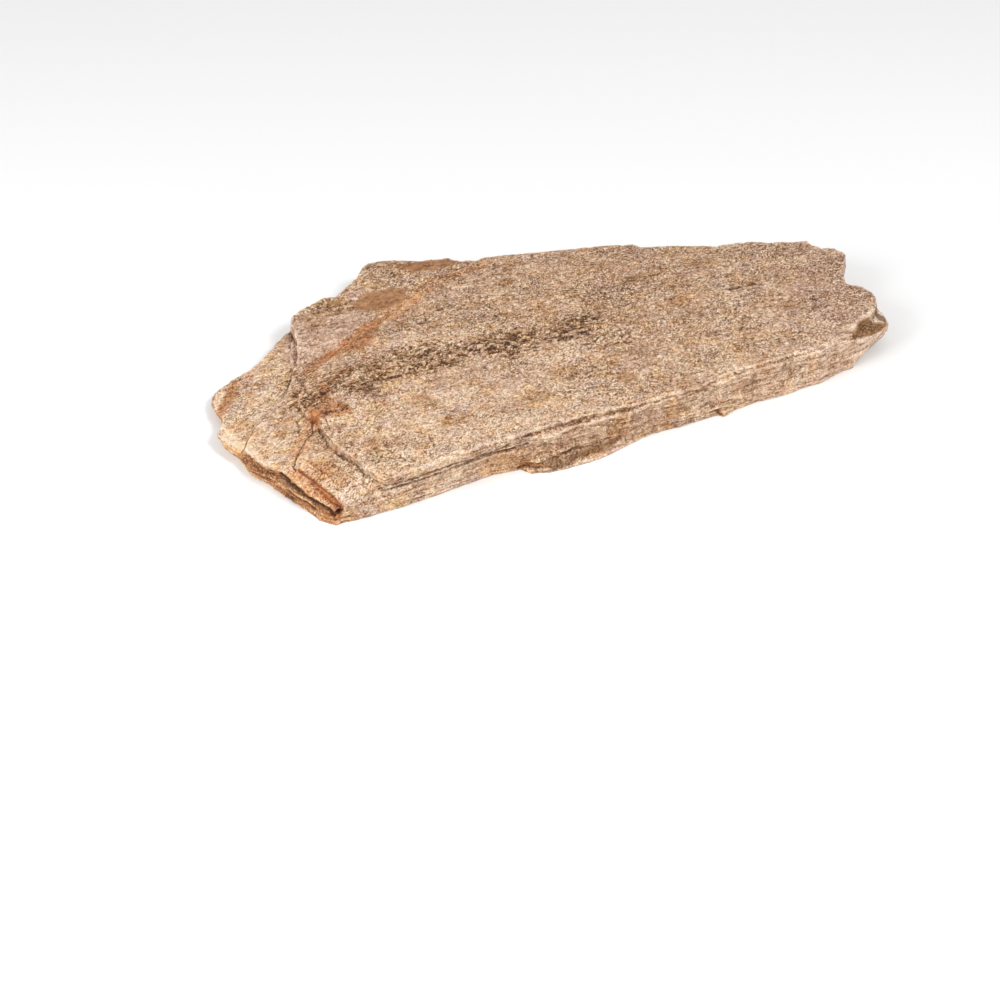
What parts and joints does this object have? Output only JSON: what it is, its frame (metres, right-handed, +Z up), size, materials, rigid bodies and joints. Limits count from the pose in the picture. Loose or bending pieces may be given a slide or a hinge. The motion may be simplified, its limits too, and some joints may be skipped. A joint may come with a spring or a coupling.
{
  "type": "quartzite flagstone",
  "caption": "Irregular slab of split quartzite with stepped cleft sheets on top and a broken edge all round, lying flat on its underside.",
  "frame": {"origin": "middle of the slab's footprint box, on the surface that it rests on", "axes": "+X along the slab's length, from the stepped left-hand tip to the thin right-hand tip; +Y across it, from the long oblique front face to the far edge; +Z up, out of the cleft top"},
  "size_m": [0.47, 0.348, 0.0276],
  "materials": {
    "quartzite": "rough natural cleft face"
  },
  "bodies": {
    "root": {"flagstone": "quartzite"}
  },
  "joints": []
}
